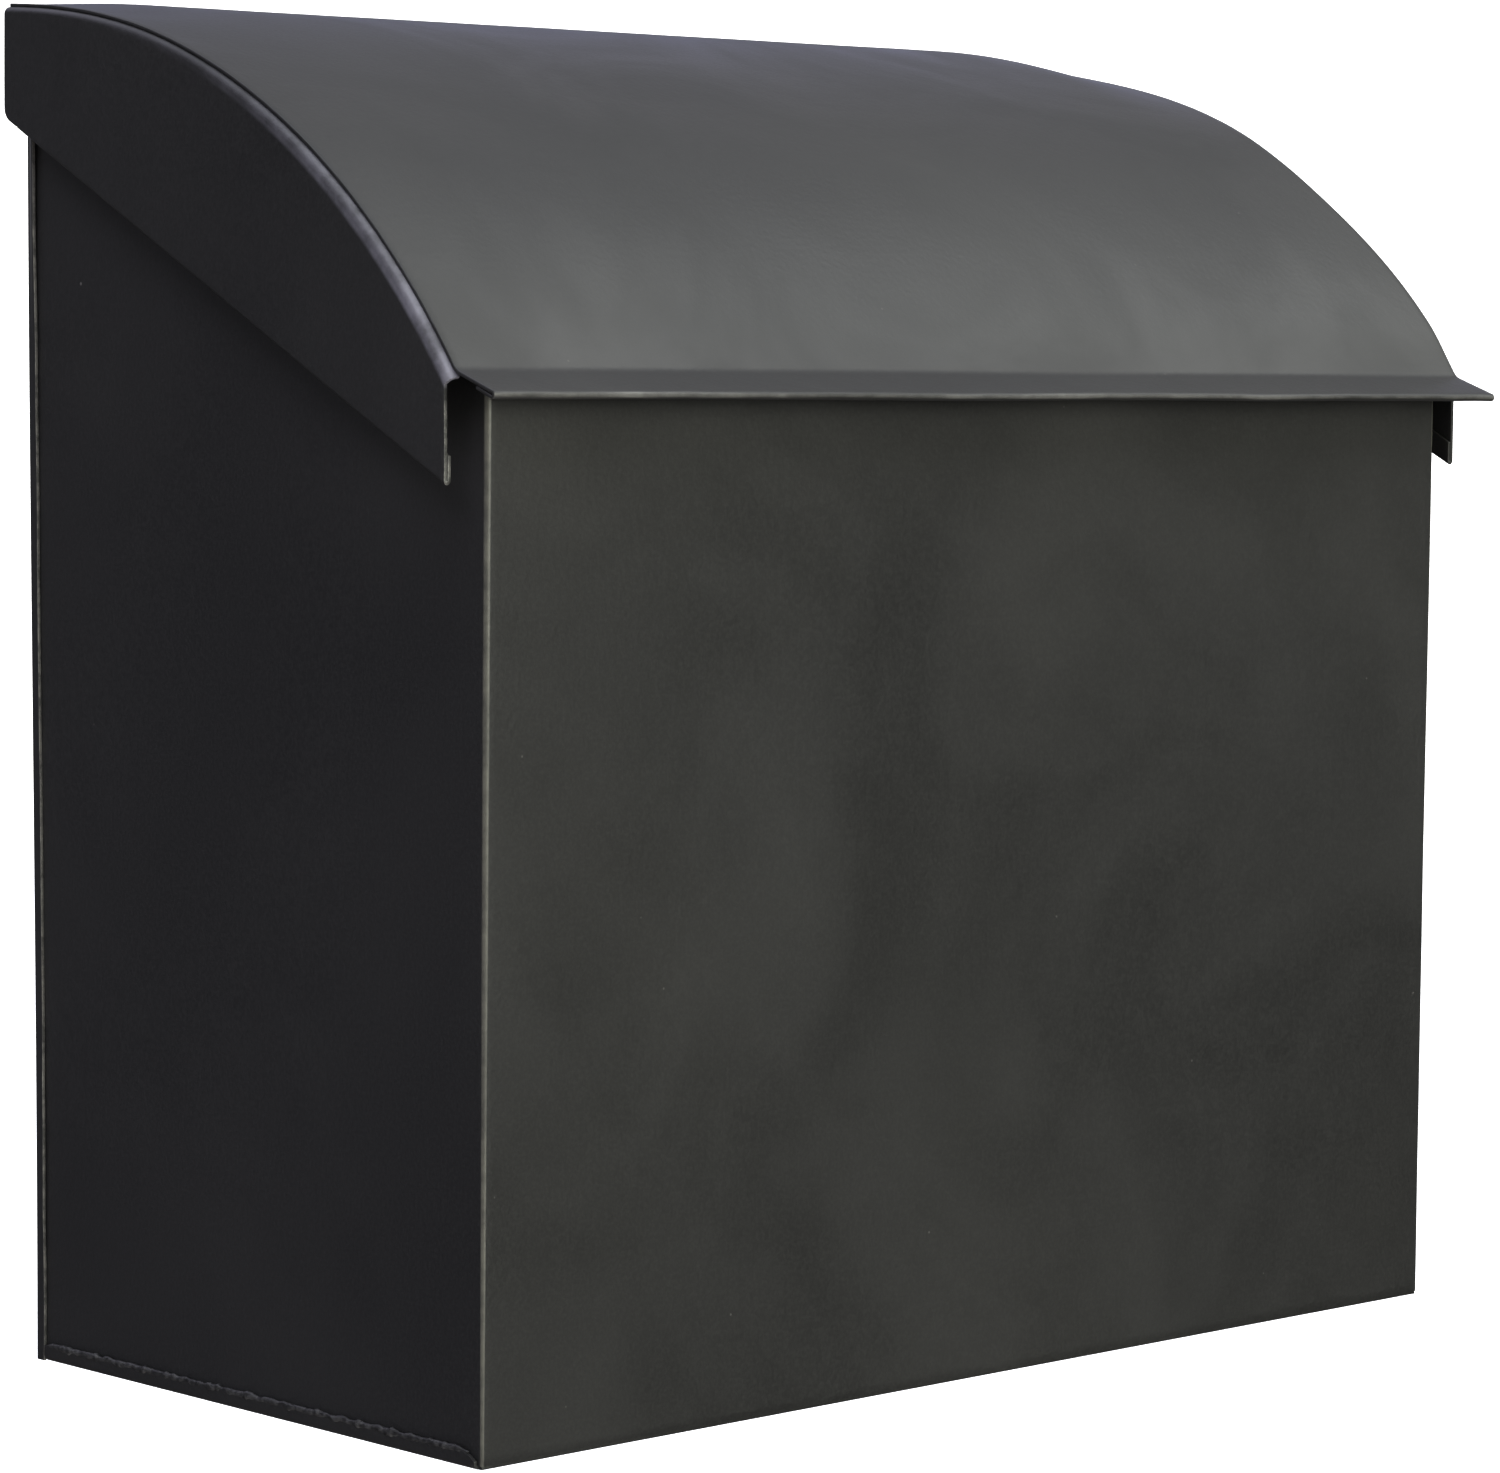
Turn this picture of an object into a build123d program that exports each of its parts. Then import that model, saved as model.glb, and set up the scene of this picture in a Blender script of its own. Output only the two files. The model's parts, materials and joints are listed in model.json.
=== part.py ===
from build123d import *
import math
import os

os.makedirs("parts", exist_ok=True)

# Wall mounted mailbox in painted sheet steel, millimetres.
# X runs along the wall, the wall plane is Y = 0, the front faces -Y, and +Z is up.
# The origin is the centre of the four wall screw holes, on the wall plane.

# Driving dimensions: body
BODY_W = 300.0
BODY_D = 154.5
SHEET = 0.8
FOLD_R = 2.0
ORIGIN_H = 140.0
FRONT_TOP_H = 221.0
FRONT_RETURN_D = 9.0
WALL_FLANGE_D = 3.5
FLOOR_FLANGE_H = 3.6
FLOOR_FLANGE_END = 2.6
EDGE_R = 0.6
WELD_LEG = 0.75
DRAIN_R = 2.5
DRAIN_SPACING_X = 240.0
DRAIN_SPACING_Y = 100.0

# Driving dimensions: wall screws
SCREW_R = 3.0
SCREW_SPACING_X = 220.0
SCREW_SPACING_Z = 160.0

# Driving dimensions: lid
LID_W = 316.5
CREASE_H = 224.3
ARC_R = 198.8
ARC_Y = 5.7
LIP_OUT = 12.4
LIP_DROP = 4.3
LIP_HEM = 5.0
LID_REAR_GAP = 1.6
HEM_GAP = 0.2
CHEEK_OUTSET = 1.7
CHEEK_BEND_R = 1.6
CHEEK_REAR_H = 25.5
CHEEK_FRONT_H = 21.7
CHEEK_RAKE = 1.9
CHEEK_FLANGE = 11.0
CHEEK_HEM = 4.5
CHEEK_CORNER_R = 2.5

# Driving dimensions: hinges
PIN_R = 1.0
PIN_HEAD_R = 1.6
PIN_HEAD_T = 0.5
RUNNING_CLEARANCE = 0.05
LEAF_T = 0.8
LEAF_BODY_H = 14.0
LEAF_LID_D = 16.0
JOIN_GAP = 0.05
LEAF_LIFT = 0.3
HINGE_L = 60.0
HINGE_SPACING = 190.0
KNUCKLES = 5
KNUCKLE_GAP = 0.3
BACK_TOP_DROP = 3.4
BACK_HEM_H = 12.0

# Heights, faces and radii worked out from them
FLOOR_Z = -ORIGIN_H
FRONT_Y = -BODY_D
FRONT_TOP_Z = FLOOR_Z + FRONT_TOP_H
CREASE_Z = FLOOR_Z + CREASE_H
ARC_Z = CREASE_Z - math.sqrt(ARC_R**2 - (FRONT_Y - ARC_Y) ** 2)
UNDER_R = ARC_R - SHEET
LEAF_TOP_R = UNDER_R - LEAF_LIFT
BORE_R = PIN_R + RUNNING_CLEARANCE
KNUCKLE_R = BORE_R + LEAF_T
HEM_FACE_Y = -(2 * SHEET + HEM_GAP)
AXIS_Y = HEM_FACE_Y - KNUCKLE_R
AXIS_Z = ARC_Z + math.sqrt(LEAF_TOP_R**2 - (AXIS_Y - ARC_Y) ** 2) - KNUCKLE_R
BACK_TOP_Z = AXIS_Z - BACK_TOP_DROP
HALF_W = BODY_W / 2
HALF_LID = LID_W / 2
KNUCKLE_L = HINGE_L / KNUCKLES


def arc_point(radius, y):
    """The point above y on the circle of this radius about the lid's centre of curvature."""
    return (y, ARC_Z + math.sqrt(radius**2 - (y - ARC_Y) ** 2))


def arc_between(radius, y_start, y_end):
    """The arc over the lid's centre of curvature, from one y to another."""
    middle = arc_point(radius, (y_start + y_end) / 2)
    return ThreePointArc(arc_point(radius, y_start), middle, arc_point(radius, y_end))


def finish(part, name):
    """Labels a finished piece and writes it to its own file."""
    part.label = name
    export_step(part, f"parts/{name}.step")


# Back panel: a sheet with two short flanges outside the side panels and a hemmed top edge
HEM_R = SHEET + HEM_GAP / 2
HEM_Z = BACK_TOP_Z - HEM_R
with BuildPart() as back_panel:
    with BuildSketch(Plane.XY.offset(FLOOR_Z)):
        with BuildLine():
            Polyline(
                (-HALF_W - SHEET, 0),
                (HALF_W + SHEET, 0),
                (HALF_W + SHEET, -WALL_FLANGE_D),
                (HALF_W, -WALL_FLANGE_D),
                (HALF_W, -SHEET),
                (-HALF_W, -SHEET),
                (-HALF_W, -WALL_FLANGE_D),
                (-HALF_W - SHEET, -WALL_FLANGE_D),
                close=True,
            )
        make_face()
    extrude(amount=HEM_Z - FLOOR_Z)
    fillet(back_panel.edges().filter_by(Axis.Z).group_by(Axis.Y)[-1], EDGE_R)
    # The top edge is folded forwards and down between the side panels
    with BuildSketch(Plane.YZ):
        with BuildLine():
            Line((0, HEM_Z - HEM_R), (0, HEM_Z))
            ThreePointArc((0, HEM_Z), (-HEM_R, HEM_Z + HEM_R), (HEM_FACE_Y, HEM_Z))
            Line((HEM_FACE_Y, HEM_Z), (HEM_FACE_Y, HEM_Z - BACK_HEM_H))
            Line((HEM_FACE_Y, HEM_Z - BACK_HEM_H), (HEM_FACE_Y + SHEET, HEM_Z - BACK_HEM_H))
            Line((HEM_FACE_Y + SHEET, HEM_Z - BACK_HEM_H), (HEM_FACE_Y + SHEET, HEM_Z))
            ThreePointArc(
                (HEM_FACE_Y + SHEET, HEM_Z),
                (-HEM_R, HEM_Z + HEM_GAP / 2),
                (-SHEET, HEM_Z),
            )
            Line((-SHEET, HEM_Z), (-SHEET, HEM_Z - HEM_R))
            Line((-SHEET, HEM_Z - HEM_R), (0, HEM_Z - HEM_R))
        make_face()
    extrude(amount=HALF_W - 2 * SHEET, both=True)
    with BuildSketch(Plane.XZ):
        with GridLocations(SCREW_SPACING_X, SCREW_SPACING_Z, 2, 2):
            Circle(SCREW_R)
    extrude(amount=SHEET, mode=Mode.SUBTRACT)
finish(back_panel.part, "back_panel")

# Bottom panel: a tray whose two side flanges stand outside the side panels
with BuildPart() as bottom_panel:
    with BuildSketch(Plane.XY.offset(FLOOR_Z)):
        with Locations((0, (FRONT_Y - SHEET) / 2)):
            Rectangle(BODY_W + 2 * SHEET, BODY_D - SHEET)
    extrude(amount=SHEET)
    flange_l = BODY_D - FLOOR_FLANGE_END - WALL_FLANGE_D
    with BuildSketch(Plane.XY.offset(FLOOR_Z)):
        with Locations((0, FRONT_Y + FLOOR_FLANGE_END + flange_l / 2)):
            with GridLocations(BODY_W + SHEET, 0, 2, 1):
                Rectangle(SHEET, flange_l)
    extrude(amount=FLOOR_FLANGE_H)
    # The front corners are cut back to the front sheet, and the rear ones to the back panel
    with BuildSketch(Plane.XY.offset(FLOOR_Z)):
        with Locations((0, FRONT_Y + FLOOR_FLANGE_END / 2)):
            with GridLocations(BODY_W + SHEET, 0, 2, 1):
                Rectangle(SHEET, FLOOR_FLANGE_END)
        with Locations((0, -WALL_FLANGE_D / 2)):
            with GridLocations(BODY_W + SHEET, 0, 2, 1):
                Rectangle(SHEET, WALL_FLANGE_D)
    extrude(amount=SHEET, mode=Mode.SUBTRACT)
    fillet(bottom_panel.edges().filter_by(Axis.Z).group_by(Axis.Y)[0], FOLD_R)
    lower_edges = bottom_panel.edges().filter_by(Axis.Y).group_by(Axis.Z)[0]
    fillet(lower_edges.filter_by(lambda edge: edge.length > flange_l - SHEET), EDGE_R)
    with BuildSketch(Plane.XY.offset(FLOOR_Z)):
        with Locations((0, FRONT_Y / 2)):
            with GridLocations(DRAIN_SPACING_X, DRAIN_SPACING_Y, 2, 2):
                Circle(DRAIN_R)
    extrude(amount=SHEET, mode=Mode.SUBTRACT)
finish(bottom_panel.part, "bottom_panel")

# Front and sides: one sheet bent round the two front corners, with sloping side tops
WRAP_L = BODY_D - SHEET
with BuildPart() as front_and_sides:
    with BuildSketch(Plane.XY.offset(FLOOR_Z + SHEET)):
        with Locations((0, -SHEET - WRAP_L / 2)):
            outer = Rectangle(BODY_W, WRAP_L)
        fillet(outer.vertices().group_by(Axis.Y)[0], FOLD_R)
        with BuildSketch(mode=Mode.SUBTRACT):
            with Locations((0, -SHEET - (WRAP_L - SHEET) / 2)):
                inner = Rectangle(BODY_W - 2 * SHEET, WRAP_L - SHEET)
            fillet(inner.vertices().group_by(Axis.Y)[0], FOLD_R - SHEET)
    extrude(amount=BACK_TOP_Z - FLOOR_Z - SHEET)
    with BuildSketch(Plane.YZ):
        with BuildLine():
            Polyline(
                (FRONT_Y, FRONT_TOP_Z),
                (0, BACK_TOP_Z),
                (FRONT_Y, BACK_TOP_Z),
                close=True,
            )
        make_face()
    extrude(amount=HALF_W, both=True, mode=Mode.SUBTRACT)
    # The front's top edge is returned inwards, level with the low end of the slope
    with BuildSketch(Plane.YZ):
        with Locations((FRONT_Y + FRONT_RETURN_D / 2, FRONT_TOP_Z - SHEET / 2)):
            Rectangle(FRONT_RETURN_D, SHEET)
    extrude(amount=HALF_W - 2 * SHEET, both=True)
finish(front_and_sides.part, "front_and_sides")


def seam_weld(side):
    """The weld bead along the top of a bottom flange, on the side given by -1 or 1."""
    with BuildPart() as bead:
        with BuildSketch(Plane.XZ.offset(WALL_FLANGE_D + SHEET)):
            with BuildLine():
                Polyline(
                    (side * HALF_W, FLOOR_Z + FLOOR_FLANGE_H),
                    (side * (HALF_W + WELD_LEG), FLOOR_Z + FLOOR_FLANGE_H),
                    (side * HALF_W, FLOOR_Z + FLOOR_FLANGE_H + WELD_LEG),
                    close=True,
                )
            make_face()
        extrude(amount=BODY_D - WALL_FLANGE_D - FLOOR_FLANGE_END - 2 * SHEET)
    return bead.part


# Lid top: an arched sheet, creased into a lip whose front edge is folded under
LIP_L = math.hypot(LIP_OUT, LIP_DROP)
LIP_DIR = Vector(-LIP_OUT / LIP_L, -LIP_DROP / LIP_L)
LIP_UP = Vector(LIP_DIR.Y, -LIP_DIR.X)
NOSE_R = SHEET + HEM_GAP / 2


def lip_point(along, depth):
    """A point on the lip, this far forward of the crease and this far under its top face."""
    point = Vector(FRONT_Y, CREASE_Z) + LIP_DIR * along - LIP_UP * depth
    return (point.X, point.Y)


def inner_crease():
    """How far behind the crease the lip's lower face meets the arch's lower face."""
    start = Vector(*lip_point(0, SHEET)) - Vector(ARC_Y, ARC_Z)
    along = start.dot(LIP_DIR)
    return -along + math.sqrt(along**2 - start.dot(start) + UNDER_R**2)


with BuildPart() as lid_top:
    nose = LIP_L - NOSE_R
    inner = lip_point(inner_crease(), SHEET)
    with BuildSketch(Plane.YZ):
        with BuildLine():
            arc_between(ARC_R, -LID_REAR_GAP, FRONT_Y)
            Line((FRONT_Y, CREASE_Z), lip_point(nose, 0))
            ThreePointArc(
                lip_point(nose, 0), lip_point(LIP_L, NOSE_R), lip_point(nose, 2 * NOSE_R)
            )
            Line(lip_point(nose, 2 * NOSE_R), lip_point(nose - LIP_HEM, 2 * NOSE_R))
            Line(
                lip_point(nose - LIP_HEM, 2 * NOSE_R),
                lip_point(nose - LIP_HEM, SHEET + HEM_GAP),
            )
            Line(lip_point(nose - LIP_HEM, SHEET + HEM_GAP), lip_point(nose, SHEET + HEM_GAP))
            ThreePointArc(
                lip_point(nose, SHEET + HEM_GAP),
                lip_point(nose + HEM_GAP / 2, NOSE_R),
                lip_point(nose, SHEET),
            )
            Line(lip_point(nose, SHEET), inner)
            arc_between(UNDER_R, inner[0], -LID_REAR_GAP)
            Line(arc_point(UNDER_R, -LID_REAR_GAP), arc_point(ARC_R, -LID_REAR_GAP))
        make_face()
    extrude(amount=HALF_LID, both=True)
finish(lid_top.part, "lid_top")

# Lid cheeks: side plates with an arched flange under the lid top and a hemmed lower edge
CHEEK_OUT = HALF_LID + CHEEK_OUTSET
CHEEK_R = UNDER_R - JOIN_GAP
CHEEK_FRONT_TOP = arc_point(CHEEK_R, FRONT_Y + CHEEK_RAKE)
CHEEK_FRONT_LOW = (FRONT_Y + CHEEK_RAKE, CREASE_Z - CHEEK_FRONT_H)
CHEEK_REAR_TOP = arc_point(CHEEK_R, -LID_REAR_GAP)
CHEEK_REAR_LOW = (-LID_REAR_GAP, CHEEK_REAR_TOP[1] - CHEEK_REAR_H)


def cheek(side):
    """A lid cheek, on the side given by -1 or 1."""
    outer_plane = Plane.YZ.offset(side * CHEEK_OUT)
    low_edge = Vector(*CHEEK_REAR_LOW) - Vector(*CHEEK_FRONT_LOW)
    hem_rise = Vector(0, CHEEK_HEM * low_edge.length / low_edge.X)
    hem_front = Vector(*CHEEK_FRONT_LOW)
    hem_rear = Vector(*CHEEK_REAR_LOW) - low_edge.normalized() * CHEEK_CORNER_R
    with BuildPart() as plate:
        with BuildSketch(outer_plane):
            with BuildLine():
                arc_between(CHEEK_R, -LID_REAR_GAP, FRONT_Y + CHEEK_RAKE)
                Polyline(CHEEK_FRONT_TOP, CHEEK_FRONT_LOW, CHEEK_REAR_LOW, CHEEK_REAR_TOP)
            outline = make_face()
            rear_low = outline.vertices().sort_by_distance((*CHEEK_REAR_LOW, 0))[0]
            fillet(rear_low, CHEEK_CORNER_R)
        extrude(amount=-side * SHEET)
        # The arched flange is turned inwards under the lid top
        with BuildSketch(outer_plane):
            with BuildLine():
                arc_between(CHEEK_R, -LID_REAR_GAP, FRONT_Y + CHEEK_RAKE)
                Line(CHEEK_FRONT_TOP, arc_point(CHEEK_R - SHEET, FRONT_Y + CHEEK_RAKE))
                arc_between(CHEEK_R - SHEET, FRONT_Y + CHEEK_RAKE, -LID_REAR_GAP)
                Line(arc_point(CHEEK_R - SHEET, -LID_REAR_GAP), CHEEK_REAR_TOP)
            make_face()
        extrude(amount=-side * CHEEK_FLANGE)
        # The lower edge is folded inwards and pressed flat
        with BuildSketch(outer_plane.offset(-side * SHEET)):
            with BuildLine():
                Polyline(
                    hem_front, hem_front + hem_rise, hem_rear + hem_rise, hem_rear, close=True
                )
            make_face()
        extrude(amount=-side * SHEET)
        arch_edges = plate.edges().filter_by(GeomType.CIRCLE).filter_by(
            lambda edge: abs(edge.center().X - side * CHEEK_OUT) < JOIN_GAP
        )
        fillet(arch_edges.sort_by(Edge.length)[-1], CHEEK_BEND_R)
    return plate.part


def leaf_segments(first):
    """The x ranges of every second knuckle of a hinge, from the one numbered first."""
    start = -HINGE_L / 2
    return [
        (start + k * KNUCKLE_L, start + (k + 1) * KNUCKLE_L)
        for k in range(first, KNUCKLES, 2)
    ]


def hinge_leaf(centre_x, on_lid):
    """A hinge leaf with its knuckles: on the lid it follows the arch, on the body it hangs."""
    own = leaf_segments(1 if on_lid else 0)
    others = leaf_segments(0 if on_lid else 1)
    plane = Plane.YZ.offset(centre_x)
    with BuildPart() as leaf:
        with BuildSketch(plane):
            if on_lid:
                front_y = AXIS_Y - LEAF_LID_D
                with BuildLine():
                    arc_between(LEAF_TOP_R, AXIS_Y, front_y)
                    Line(arc_point(LEAF_TOP_R, front_y), arc_point(LEAF_TOP_R - LEAF_T, front_y))
                    arc_between(LEAF_TOP_R - LEAF_T, front_y, AXIS_Y)
                    Line(arc_point(LEAF_TOP_R - LEAF_T, AXIS_Y), arc_point(LEAF_TOP_R, AXIS_Y))
                make_face()
            else:
                with Locations((HEM_FACE_Y - LEAF_T / 2, AXIS_Z - LEAF_BODY_H / 2)):
                    Rectangle(LEAF_T, LEAF_BODY_H)
        extrude(amount=HINGE_L / 2, both=True)
        # Room for the other leaf's knuckles
        for low, high in others:
            with BuildSketch(plane.offset(low - KNUCKLE_GAP)):
                with Locations((AXIS_Y, AXIS_Z)):
                    Circle(KNUCKLE_R + KNUCKLE_GAP)
            extrude(amount=high - low + 2 * KNUCKLE_GAP, mode=Mode.SUBTRACT)
        for low, high in own:
            with BuildSketch(plane.offset(low)):
                with Locations((AXIS_Y, AXIS_Z)):
                    Circle(KNUCKLE_R)
            extrude(amount=high - low)
        with BuildSketch(plane):
            with Locations((AXIS_Y, AXIS_Z)):
                Circle(BORE_R)
        extrude(amount=HINGE_L, both=True, mode=Mode.SUBTRACT)
    return leaf.part


def hinge_pin(centre_x):
    """A hinge pin with a peened head at each end."""
    end = HINGE_L / 2 + JOIN_GAP
    with BuildPart() as pin:
        with BuildSketch(Plane.YZ.offset(centre_x)):
            with Locations((AXIS_Y, AXIS_Z)):
                Circle(PIN_R)
        extrude(amount=end, both=True)
        for side in (-1, 1):
            with BuildSketch(Plane.YZ.offset(centre_x + side * end)):
                with Locations((AXIS_Y, AXIS_Z)):
                    Circle(PIN_HEAD_R)
            extrude(amount=side * PIN_HEAD_T)
    return pin.part


for side, hand in ((-1, "left"), (1, "right")):
    hinge_x = side * HINGE_SPACING / 2
    finish(seam_weld(side), f"{hand}_seam_weld")
    finish(cheek(side), f"{hand}_cheek")
    finish(hinge_leaf(hinge_x, on_lid=False), f"{hand}_hinge_body_leaf")
    finish(hinge_leaf(hinge_x, on_lid=True), f"{hand}_hinge_lid_leaf")
    finish(hinge_pin(hinge_x), f"{hand}_hinge_pin")
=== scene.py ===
"""A wall mounted mailbox in painted sheet steel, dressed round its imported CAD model.

Every sheet is a bent centre surface given its real thickness, with small hand-made unevenness.
Lengths in the shape functions are millimetres; meshes are stored in metres.
"""

import json
import math
import random

import bpy
import numpy as np
from mathutils import Matrix, Vector, noise


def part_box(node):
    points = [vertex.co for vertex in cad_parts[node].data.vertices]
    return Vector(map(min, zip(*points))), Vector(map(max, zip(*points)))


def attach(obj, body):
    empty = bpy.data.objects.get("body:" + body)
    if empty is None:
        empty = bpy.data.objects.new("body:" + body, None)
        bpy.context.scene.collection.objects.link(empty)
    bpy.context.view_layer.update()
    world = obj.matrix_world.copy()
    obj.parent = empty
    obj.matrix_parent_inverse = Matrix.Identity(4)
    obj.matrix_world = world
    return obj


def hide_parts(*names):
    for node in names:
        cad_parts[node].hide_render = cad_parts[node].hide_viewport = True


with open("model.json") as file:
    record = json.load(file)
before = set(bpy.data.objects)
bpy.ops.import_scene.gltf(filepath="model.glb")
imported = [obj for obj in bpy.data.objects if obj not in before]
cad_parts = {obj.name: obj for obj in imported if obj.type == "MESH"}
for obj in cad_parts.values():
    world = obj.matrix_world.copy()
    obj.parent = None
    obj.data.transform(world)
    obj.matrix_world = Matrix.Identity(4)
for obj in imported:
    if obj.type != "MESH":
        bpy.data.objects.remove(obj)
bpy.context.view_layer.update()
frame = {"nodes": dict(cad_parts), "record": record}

MM = 0.001


def box_mm(node):
    """The lowest and highest corner of a CAD node, in millimetres."""
    low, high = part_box(node)
    return low / MM, high / MM


# ---- Places and sizes, in millimetres, read from the frame -------------------------------
WRAP_LOW, WRAP_HIGH = box_mm("front_and_sides")
BACK_LOW, BACK_HIGH = box_mm("back_panel")
TRAY_LOW, TRAY_HIGH = box_mm("bottom_panel")
LID_LOW, LID_HIGH = box_mm("lid_top")
CHEEK_HIGH = box_mm("right_cheek")[1]
MOUNTS = {mount["name"]: mount for mount in frame["record"]["mounts"]}

SHEET = 0.8
HALF = SHEET / 2
FRONT_Y = WRAP_LOW.y
FLOOR_Z = BACK_LOW.z

# Lid: the arch is highest at its rear edge, a little in front of its circle's centre
ARC_R = 198.8
ARC_Y = 5.7
ARC_Z = LID_HIGH.z - math.sqrt(ARC_R**2 - (LID_HIGH.y - ARC_Y) ** 2)
CREASE_Z = ARC_Z + math.sqrt(ARC_R**2 - (FRONT_Y - ARC_Y) ** 2)
LIP_OUT = FRONT_Y - LID_LOW.y
LIP_DROP = 4.3
CREASE_BEND = 1.4
LIP_HEM = 5.0
NOSE_R = 0.52
LID_SKEW_LEFT = 1.3
LID_SKEW_RIGHT = -0.75
LID_SKEW_START = 30.0
FLAT_SPOT_DIP = 3.6
FLAT_SPOT_X = 126.0
FLAT_SPOT_PEAK = 26.0
FLAT_SPOT_END = 90.0
REAR_DROOP = 1.3
REAR_DROOP_END = 62.0
FULLNESS = 1.7
FULL_START = 105.0
FULL_PEAK = 144.0
FULL_END = 153.0
LID_REAR_CALM = 30.0
LID_BUCKLES = ((0.20, 100.0, 21), (0.05, 26.0, 22))

# Cheeks
CHEEK_REAR_H = 25.5
CHEEK_FRONT_H = 21.7
CHEEK_RAKE = 1.9
CHEEK_FLANGE = 11.0
CHEEK_HEM = 4.6
CHEEK_CORNER_R = 3.4
CHEEK_BEND = 1.2
CHEEK_FLARE = 0.9
CHEEK_FLARE_L = 16.0
CHEEK_GAP = 0.05
CHEEK_SETBACK = 0.3
CHEEK_INSET = 0.25
CHEEK_HEM_START = 3.0
CHEEK_FOLD_R = HALF + 0.08
BARE_EDGE_BELOW = 4.5  # below the arch, where the flange ends and the flat plate's cut edge begins

# Body
FRONT_TOP_Z = FLOOR_Z + 221.0
FOLD_R_LOW = 0.9
FOLD_R_HIGH = 1.4
RETURN_D = 9.0
RETURN_BEND = 1.0
RELIEF_W = 2.0
PLATE_BEND = 0.8
WALL_FLANGE_D = BACK_HIGH.y - BACK_LOW.y
FLOOR_FLANGE_H = TRAY_HIGH.z - TRAY_LOW.z
FLOOR_FLANGE_END = 1.4
FLANGE_CLIP = 3.0
FLANGE_GAP = 0.25
TRAY_SETBACK = 0.45
TRAY_LIFT = 0.08
TRAY_EDGE_R = 0.4
BACK_HEM_H = 12.0
HEM_GAP = 0.2
DRAIN_R = 2.5
DRAIN_SPACING = (240.0, 100.0)
CUT_EDGE_R = 0.22
BODY_LEAN = 2.2
FLANGE_SPRING = 0.15
FLANGE_SPLAY = 0.5
SPLAY_START = 95.0
SPLAY_FULL = 25.0
EDGE_INSET = 0.02
BODY_BUCKLES = ((0.22, 95.0, 1), (0.05, 24.0, 2))

# Weld beads
WELD_R = 0.70
WELD_STATIONS = 190
WELD_SIDES = 10

# Where the paint is made paler: how far in from the lid's front and rear edges, how far below
# the arch on a cheek's bend, and how far forward along it. Each pair is none, then in full. On the
# lid's nose this is a painted highlight on paint worn by handling, along its rear edge paler
# patches, and on a cheek's bend a painted highlight.
NOSE_HIGHLIGHT_AND_WEAR = (0.62, 0.34)
REAR_PALE_PATCHES = (12.0, 2.0)
BEND_HIGHLIGHT = (3.4, 2.2)
BEND_HIGHLIGHT_Y = (-60.0, -148.0)


# ---- Mesh helpers ------------------------------------------------------------------------
def spaced(start, end, count, crowd=0.0):
    """Values from start to end, crowded towards both ends by crowd (0 is even)."""
    t = np.linspace(0.0, 1.0, count)
    t = (1 - crowd) * t + crowd * (0.5 - 0.5 * np.cos(math.pi * t))
    return start + (end - start) * t


def unevenness(points, size, seed):
    """Smooth noise from about -1 to 1 at each point of an array."""
    flat = points.reshape(-1, 3) / size
    shift = Vector((seed * 7.31, seed * 3.17, seed * 5.93))
    values = [noise.noise(Vector(p) + shift) for p in flat]
    return np.array(values).reshape(points.shape[:-1])


def grid_normals(points):
    """Unit normals of a grid of points, rows by columns."""
    down = np.gradient(points, axis=0)
    across = np.gradient(points, axis=1)
    normals = np.cross(down, across)
    return normals / np.maximum(np.linalg.norm(normals, axis=-1, keepdims=True), 1e-9)


def buckle(points, height, size, seed, share=1.0):
    """Moves a centre surface along its normals by smooth noise, as thin sheet is never flat."""
    lift = height * unevenness(points, size, seed) * share
    return points + grid_normals(points) * lift[..., None]


def leaned(points):
    """The body spread slightly towards its top rear, as the real one is out of square."""
    upward = smoothstep(FLOOR_Z, BACK_HIGH.z, points[..., 2])
    rearward = smoothstep(FRONT_Y, BACK_HIGH.y, points[..., 1])
    moved = points.copy()
    moved[..., 0] *= 1 + BODY_LEAN / WRAP_HIGH.x * upward * rearward
    return moved


def lid_skew(x, y):
    """How far the lid's skin is off the arch in height. The real lid's crease isn't quite level, its
    rear edge is flat at the right and low at the left, and it is full behind the crease's right."""
    across = (x - LID_LOW.x) / (LID_HIGH.x - LID_LOW.x)
    behind = LID_HIGH.y - y
    forward = smoothstep(LID_SKEW_START, LID_HIGH.y - FRONT_Y, behind)
    skew = (LID_SKEW_LEFT + (LID_SKEW_RIGHT - LID_SKEW_LEFT) * across) * forward
    right = smoothstep(FLAT_SPOT_X, LID_HIGH.x, x)
    dip = smoothstep(-FLAT_SPOT_PEAK, FLAT_SPOT_PEAK, behind)
    dip = dip * smoothstep(FLAT_SPOT_END, FLAT_SPOT_PEAK, behind)
    left = smoothstep(-FLAT_SPOT_X, LID_LOW.x, x)
    droop = smoothstep(REAR_DROOP_END, 0.0, behind)
    full = smoothstep(FULL_START, FULL_PEAK, behind) * smoothstep(FULL_END, FULL_PEAK, behind)
    swell = FULLNESS * full * smoothstep(0.5, 1.0, across)
    return skew + swell - FLAT_SPOT_DIP * right * dip - REAR_DROOP * left * droop


def mesh_object(name, vertices, faces):
    """A mesh object from millimetre vertices."""
    mesh = bpy.data.meshes.new(name)
    mesh.from_pydata([Vector(v) * MM for v in vertices], [], faces)
    mesh.validate()
    mesh.update()
    piece = bpy.data.objects.new(name, mesh)
    bpy.context.scene.collection.objects.link(piece)
    return piece


def grid_object(name, points, keep=None):
    """A surface from a grid of points, with only the cells that keep says."""
    rows, columns = points.shape[:2]
    faces = []
    for r in range(rows - 1):
        for c in range(columns - 1):
            if keep is None or keep[r, c]:
                first = r * columns + c
                faces.append((first, first + 1, first + columns + 1, first + columns))
    used = sorted({i for face in faces for i in face})
    renumbered = {old: new for new, old in enumerate(used)}
    flat = points.reshape(-1, 3)
    return mesh_object(name, flat[used], [[renumbered[i] for i in face] for face in faces])


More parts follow.
